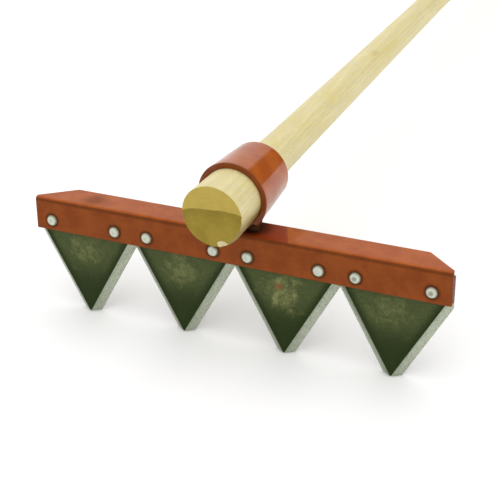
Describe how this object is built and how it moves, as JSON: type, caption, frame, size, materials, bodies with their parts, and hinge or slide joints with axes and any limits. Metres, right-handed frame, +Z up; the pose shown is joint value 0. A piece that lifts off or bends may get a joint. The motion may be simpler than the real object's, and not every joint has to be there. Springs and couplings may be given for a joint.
{
  "type": "fire rake",
  "caption": "Rake head of riveted triangular blades under a folded angle bar, with a long round handle dropped through a tapered collar.",
  "frame": {"origin": "on the floor under the middle of the rake's length and width, with the rake resting on its tooth tips and on the rear end of its handle", "axes": "+X along the bar to the right as seen from the front, +Y back towards the user along the floor, +Z up"},
  "size_m": [0.3048, 1.5224, 0.1309],
  "materials": {
    "red_enamel": "glossy red-brown enamel",
    "tooth_steel": "dark tempered steel with ground edges",
    "rivet_steel": "bare zinc-grey heads",
    "ash_wood": "smooth clear-waxed ash"
  },
  "bodies": {
    "head": {"head_bar": "red_enamel", "handle_collar": "red_enamel", "weld_left": "red_enamel", "weld_right": "red_enamel", "tooth_1": "tooth_steel", "tooth_2": "tooth_steel", "tooth_3": "tooth_steel", "tooth_4": "tooth_steel", "rivet_1": "rivet_steel", "rivet_2": "rivet_steel", "rivet_3": "rivet_steel", "rivet_4": "rivet_steel", "rivet_5": "rivet_steel", "rivet_6": "rivet_steel", "rivet_7": "rivet_steel", "rivet_8": "rivet_steel"},
    "handle": {"handle": "ash_wood"}
  },
  "joints": [
    {"name": "handle_draw", "type": "slide", "parent": "head", "child": "handle", "axis": [0, -0.998, 0.0639], "range_m": [0, 1.44]}
  ]
}
